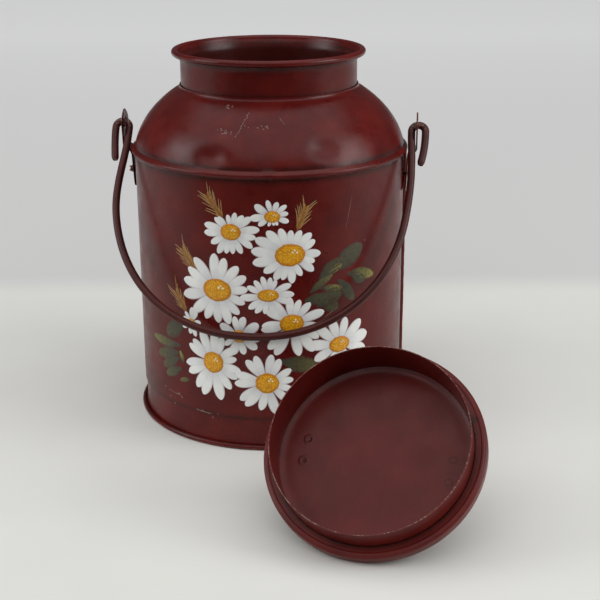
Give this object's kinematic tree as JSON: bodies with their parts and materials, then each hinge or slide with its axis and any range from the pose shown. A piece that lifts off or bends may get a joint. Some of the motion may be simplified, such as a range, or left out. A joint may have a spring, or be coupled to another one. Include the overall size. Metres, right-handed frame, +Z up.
{
  "type": "milk can",
  "caption": "Round-shouldered tinplate milk can with a rolled rim and foot, a swinging wire bail on riveted ears and a lift-off plug lid with a strap handle.",
  "frame": {"origin": "centre of the underside of the raised base disc, on the can's axis, 17 mm above the plane the can stands on", "axes": "+Z up the can's axis, +X through the right-hand ear, -Y to the front, where the bail rests and the lid stands"},
  "size_m": [0.2771, 0.364, 0.2748],
  "materials": {
    "burgundy_enamel": "semi-gloss burgundy brush paint over tinplate",
    "inside_enamel": "satin burgundy paint",
    "darkened_steel": "dull drawn steel wire"
  },
  "bodies": {
    "can": {"body_shell": "burgundy_enamel", "side_seam": "burgundy_enamel", "base_disc": "inside_enamel", "foot_band": "burgundy_enamel", "foot_wire": "darkened_steel", "shoulder_dome": "burgundy_enamel", "neck_collar": "burgundy_enamel", "rim_wire": "darkened_steel", "ear_right": "burgundy_enamel", "ear_left": "burgundy_enamel", "rivet_right": "burgundy_enamel", "rivet_left": "burgundy_enamel"},
    "bail": {"bail": "burgundy_enamel"},
    "lid": {"lid_cover": "burgundy_enamel", "lid_plug": "burgundy_enamel", "lid_handle": "burgundy_enamel"}
  },
  "joints": [
    {"name": "bail_swing", "type": "hinge", "parent": "can", "child": "bail", "pos_m": [0, 0, 0.2017], "axis": [-1, 0, 0], "range_deg": [0, 282.9]},
    {"name": "lid_lift", "type": "slide", "parent": "can", "child": "lid", "axis": [0, 0, 1], "range_m": [0, 0.3]}
  ]
}
